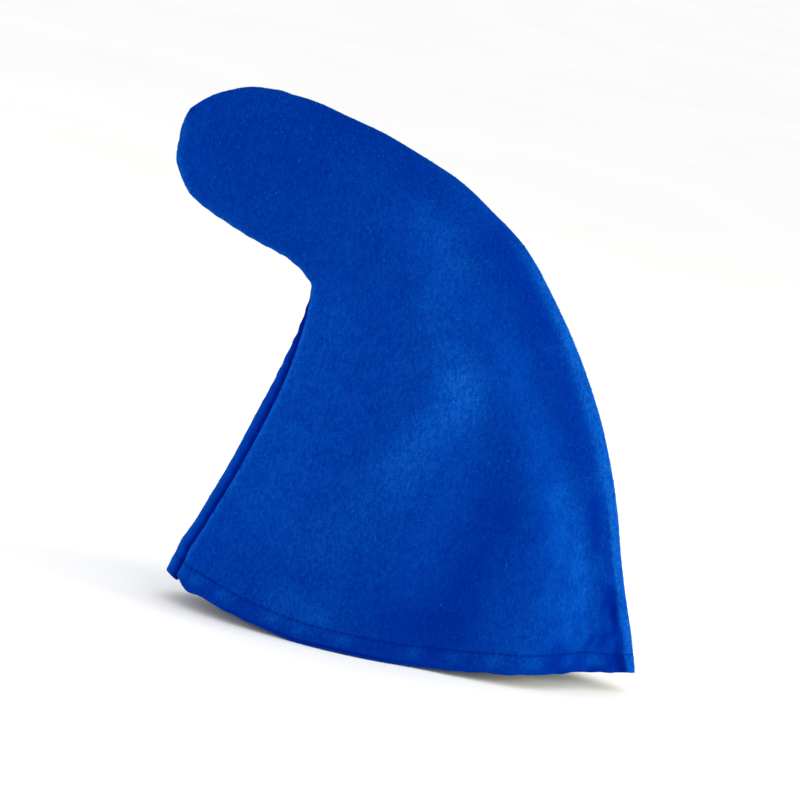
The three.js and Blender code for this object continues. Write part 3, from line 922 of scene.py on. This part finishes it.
# %% Geometry Nodes helpers
def new_tree(name, sockets):
    """A Geometry Nodes tree with a geometry input and named value inputs, and what they give."""
    tree = bpy.data.node_groups.new(name, "GeometryNodeTree")
    tree.interface.new_socket("Geometry", in_out="INPUT", socket_type="NodeSocketGeometry")
    for label, kind in sockets:
        tree.interface.new_socket(label, in_out="INPUT", socket_type="NodeSocket" + kind)
    tree.interface.new_socket("Geometry", in_out="OUTPUT", socket_type="NodeSocketGeometry")
    return tree, add_node(tree, "NodeGroupInput").outputs


def random_between(tree, low, high, seed):
    """A random number or vector for each point, between two limits and with a fixed seed."""
    vector = isinstance(low, tuple)
    made = add_node(tree, "FunctionNodeRandomValue", {"data_type": "FLOAT_VECTOR" if vector else "FLOAT"},
                    Seed=seed)
    first = 0 if vector else 2
    made.inputs[first].default_value = low
    made.inputs[first + 1].default_value = high
    return made.outputs[0 if vector else 1]


def finish_tree(tree, points, piece, rotation, scale, material):
    """Put a piece on each point, make it real geometry and give it its material."""
    placed = add_node(tree, "GeometryNodeInstanceOnPoints", Points=points, Instance=piece,
                      Rotation=rotation, Scale=scale)
    real = add_node(tree, "GeometryNodeRealizeInstances", Geometry=placed.outputs[0])
    finished = add_node(tree, "GeometryNodeSetMaterial", Geometry=real.outputs[0], Material=material)
    add_node(tree, "NodeGroupOutput", Geometry=finished.outputs[0])


def apply_tree(source, tree, values, name):
    """Run a tree on an object with inputs set by name, and return the result as a plain mesh object."""
    modifier = source.modifiers.new(name, "NODES")
    modifier.node_group = tree
    ids = {item.name: item.identifier for item in tree.interface.items_tree if item.in_out == "INPUT"}
    for label, value in values.items():
        modifier[ids[label]] = value
    source.update_tag()
    graph = bpy.context.evaluated_depsgraph_get()
    mesh = bpy.data.meshes.new_from_object(source.evaluated_get(graph), depsgraph=graph)
    mesh.name = name
    source.modifiers.remove(modifier)
    made = bpy.data.objects.new(name, mesh)
    bpy.context.scene.collection.objects.link(made)
    print(name, "faces:", len(mesh.polygons), "triangles:", sum(len(p.vertices) - 2 for p in mesh.polygons))
    return made


print("helpers:", [helper.__name__ for helper in (new_tree, random_between, finish_tree, apply_tree)])

# %% [markdown]
# ## Stitches
# The hem is sewn with a long machine stitch. It could be drawn into the felt's colour, but then it would
# have no depth from near by. The path is known: it is the line at one height above the rim, outside and
# inside. Geometry Nodes walk along it, drop a short piece of thread at each step and turn it along the
# path. The thread is 0.55 mm thick and sinks in a little, with its middle 0.15 mm off the felt.

# %% Stitch paths
THREAD_LIFT = 0.15
STITCHES_END = 2.2


def hem_path(tape, face, lift):
    """Points along a panel's stitch line, a little off one face of the felt."""
    points = []
    for j in np.flatnonzero(tape["to_seam"][0] > STITCHES_END):
        height = tape["height"][:, j]
        surface = [np.interp(STITCH_LINE, height, tape[face][:, j, axis]) for axis in range(3)]
        normal = [np.interp(STITCH_LINE, height, tape["normal"][:, j, axis]) for axis in range(3)]
        points.append(np.array(surface) + lift * np.array(normal))
    return np.array(points)


def path_object(name, paths):
    """Open polylines in one curve object."""
    curve = bpy.data.curves.new(name, "CURVE")
    curve.dimensions = "3D"
    for path in paths:
        spline = curve.splines.new("POLY")
        spline.points.add(len(path) - 1)
        spline.points.foreach_set("co", np.c_[path * MM, np.ones(len(path))].astype(np.float32).ravel())
    made = bpy.data.objects.new(name, curve)
    bpy.context.scene.collection.objects.link(made)
    return made


stitch_paths = [hem_path(tape, face, lift)
                for face, lift in (("outside", THREAD_LIFT), ("inside", -THREAD_LIFT))
                for tape in (left_tape, right_tape)]
steps = np.diff(stitch_paths[0], axis=0)
print("stitch line, front to back:", round(float(np.linalg.norm(steps, axis=1).sum())), "mm")

# %% Stitches along the hem
STITCH_LENGTH = 3.1
THREAD_WIDTH = 0.55
SHORTEST_STITCH, LONGEST_STITCH = (0.86, 0.9, 0.9), (1.1, 1.05, 1.05)
STITCH_SEED = 7


def stitch_tree():
    """Short rounded threads, one after the other along a curve."""
    tree, given = new_tree("hem_stitching", (
        ("Stitch Pitch", "Float"), ("Stitch Length", "Float"), ("Thread Width", "Float"),
        ("Thread", "Material")))
    steps = add_node(tree, "GeometryNodeResampleCurve", {"mode": "LENGTH"}, Curve=given["Geometry"],
                     Length=given["Stitch Pitch"])
    ball = add_node(tree, "GeometryNodeMeshUVSphere", Segments=8, Rings=6, Radius=0.5)
    size = add_node(tree, "ShaderNodeCombineXYZ", X=given["Stitch Length"], Y=given["Thread Width"],
                    Z=given["Thread Width"])
    stitch = add_node(tree, "GeometryNodeTransform", Geometry=ball.outputs["Mesh"], Scale=size.outputs[0])
    along = add_node(tree, "GeometryNodeInputTangent")
    turned = add_node(tree, "FunctionNodeAlignRotationToVector", {"axis": "X"}, Vector=along.outputs[0])
    uneven = random_between(tree, SHORTEST_STITCH, LONGEST_STITCH, STITCH_SEED)
    finish_tree(tree, steps.outputs[0], stitch.outputs[0], turned.outputs[0], uneven, given["Thread"])
    return tree


stitch_guide = path_object("stitch_guide", stitch_paths)
hem_stitches = apply_tree(stitch_guide, stitch_tree(), {
    "Stitch Pitch": STITCH_PITCH * MM, "Stitch Length": STITCH_LENGTH * MM,
    "Thread Width": THREAD_WIDTH * MM, "Thread": thread}, "hem_stitches")
bpy.data.objects.remove(stitch_guide)

# %% [markdown]
# ## Loose fibres
# A few fibres always stand free of felt. They soften the outline and give the surface its fine light
# streaks. The tree scatters points over the outside faces with a fixed seed, more of them where the
# `loose` attribute is higher, as it is where the painted shading is lighter, and puts a short bent fibre
# on each, almost lying down.
# A hair system would look alike, but it isn't geometry that a file can hold.

# %% Loose fibres on the felt
FIBRES_PER_SQUARE_METRE = 160000.0
FIBRE_LENGTH, FIBRE_WIDTH = 1.6, 0.16
SHORTEST_FIBRE, LONGEST_FIBRE = 0.45, 1.25
FIBRE_LEAN = 0.25
FIBRE_ARCH = {"Start": (-0.5, 0, -0.02), "Middle": (0.0, 0.22, 0.30), "End": (0.5, 0, 0.02)}
SPIN_SEED, LENGTH_SEED = 3, 5
LEFT_FIBRE_SEED, RIGHT_FIBRE_SEED = 11, 12


def fibre_tree():
    """Bent fibres scattered over the faces that have nap."""
    tree, given = new_tree("felt_fibres", (
        ("Density", "Float"), ("Fibre Length", "Float"), ("Fibre Radius", "Float"), ("Seed", "Int"),
        ("Fibre", "Material")))
    loose = add_node(tree, "GeometryNodeInputNamedAttribute", {"data_type": "FLOAT"}, Name="loose")
    density = calculate(tree, "MULTIPLY", loose.outputs["Attribute"], given["Density"])
    points = add_node(tree, "GeometryNodeDistributePointsOnFaces", Mesh=given["Geometry"],
                      Density=density, Seed=given["Seed"])
    arch = add_node(tree, "GeometryNodeCurveQuadraticBezier", Resolution=3, **FIBRE_ARCH)
    thin = calculate(tree, "DIVIDE", given["Fibre Radius"], given["Fibre Length"])
    ring = add_node(tree, "GeometryNodeCurvePrimitiveCircle", Resolution=3, Radius=thin)
    bent = add_node(tree, "GeometryNodeCurveToMesh", Curve=arch.outputs[0], Profile_Curve=ring.outputs[0],
                    Fill_Caps=True)
    spin = random_between(tree, (0, 0, 0), (FIBRE_LEAN, FIBRE_LEAN, 2 * math.pi), SPIN_SEED)
    turned = add_node(tree, "FunctionNodeRotateRotation", {"rotation_space": "LOCAL"},
                      Rotation=points.outputs["Rotation"], Rotate_By=spin)
    length = random_between(tree, SHORTEST_FIBRE, LONGEST_FIBRE, LENGTH_SEED)
    size = calculate(tree, "MULTIPLY", length, given["Fibre Length"])
    finish_tree(tree, points.outputs["Points"], bent.outputs[0], turned.outputs[0], size, given["Fibre"])
    return tree


fibre_nodes = fibre_tree()
fibres = []
for felt_piece, seed in ((left_felt, LEFT_FIBRE_SEED), (right_felt, RIGHT_FIBRE_SEED)):
    fibres.append(apply_tree(felt_piece, fibre_nodes, {
        "Density": FIBRES_PER_SQUARE_METRE, "Fibre Length": FIBRE_LENGTH * MM,
        "Fibre Radius": FIBRE_WIDTH * MM / 2, "Seed": seed, "Fibre": fibre},
        felt_piece.name.replace("_felt", "_fibres")))

# %% [markdown]
# ## Put the pieces on the frame
# The hat has one body. The two felt shells stand for the two CAD solids, and the stitches and fibres ride
# along.

# %% Ride and replace
for piece, node_name in ((left_felt, "left_panel"), (right_felt, "right_panel")):
    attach(piece, "root")
    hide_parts(node_name)
for piece in fibres:
    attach(piece, "root")
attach(hem_stitches, "root")

# %% [markdown]
# ## Floor
# The real hat was shown on plain white. A white floor that is larger than the view gives that background,
# and a soft contact shadow shows how the hat stands. It is stage, so it is no part of the hat.

# %% Floor
FLOOR_WIDTH = 30.0
FLOOR_COLOURS = ((0.3, (0.95, 0.95, 0.95)), (0.7, (0.98, 0.98, 0.98)))


def pale_floor():
    """A plain matt floor under the hat."""
    mesh = bpy.data.meshes.new("floor")
    half = FLOOR_WIDTH / 2
    mesh.from_pydata([(-half, -half, 0), (half, -half, 0), (half, half, 0), (-half, half, 0)], [],
                     [(0, 1, 2, 3)])
    floor = bpy.data.objects.new("floor", mesh)
    bpy.context.scene.collection.objects.link(floor)
    mesh.materials.append(mottled_material("pale_floor", 3.0, FLOOR_COLOURS, roughness=0.9, specular=0.1))


pale_floor()
print("floor:", FLOOR_WIDTH, "m wide")

# %% [markdown]
# ## Light
# The light is mostly even: a white world all round. A picture of a room could light it too, but white
# alone keeps the blue pure. Two soft lamps stand low at the two sides, where their light grazes the folds
# and models them. The right one is stronger and a little warmer. They stand near the two directions that
# got the most side light when a separate script fitted test renders to the photograph's brightness.

# %% Lights
def area_light(name, place, target, size, power, colour=(1, 1, 1)):
    """A square soft lamp at a place that faces a target."""
    data = bpy.data.lights.new(name, "AREA")
    data.size = size
    data.energy = power
    data.color = colour
    lamp = bpy.data.objects.new(name, data)
    lamp.location = place
    lamp.rotation_euler = (Vector(target) - Vector(place)).to_track_quat("-Z", "Y").to_euler()
    bpy.context.scene.collection.objects.link(lamp)


HAT_MIDDLE = (-0.02, 0.0, 0.14)
area_light("right_box", (1.48, -0.25, 0.40), HAT_MIDDLE, 0.6, 24.0, (1.0, 0.98, 0.74))
area_light("left_box", (-1.50, -0.40, 0.30), HAT_MIDDLE, 0.7, 8.0)
world = bpy.data.worlds.new("studio")
bpy.context.scene.world = world
world.use_nodes = True
world.node_tree.nodes["Background"].inputs["Color"].default_value = (1, 1, 1, 1)
world.node_tree.nodes["Background"].inputs["Strength"].default_value = 1.0
bpy.context.scene.view_settings.view_transform = "Standard"

# %% [markdown]
# ## Camera
# The photograph looks at the hat's left side from a little above, with the camera turned on its axis, so
# that the hat leans in the picture. A long lens at two metres keeps the outline almost flat.

# %% Camera
AZIMUTH, ELEVATION, ROLL = math.radians(-8.0), math.radians(10.0), math.radians(13.5)
LENS, SENSOR = 160.0, 36.0
VIEW_WIDTH = 0.448
LOOK_AT = Vector((-0.0308, 0.0, 0.1378))

back = Vector((math.sin(AZIMUTH) * math.cos(ELEVATION), -math.cos(AZIMUTH) * math.cos(ELEVATION),
               math.sin(ELEVATION)))
level_right = Vector((math.cos(AZIMUTH), math.sin(AZIMUTH), 0.0))
level_up = back.cross(level_right)
right = math.cos(ROLL) * level_right + math.sin(ROLL) * level_up
upward = -math.sin(ROLL) * level_right + math.cos(ROLL) * level_up
camera_data = bpy.data.cameras.new("camera")
camera_data.lens = LENS
camera_data.sensor_width = SENSOR
camera = bpy.data.objects.new("camera", camera_data)
camera.matrix_world = Matrix.Translation(LOOK_AT + back * (VIEW_WIDTH * LENS / SENSOR)) @ Matrix(
    (right, upward, back)).transposed().to_4x4()
bpy.context.scene.collection.objects.link(camera)
bpy.context.scene.camera = camera
print("camera at", [round(v, 3) for v in camera.location])
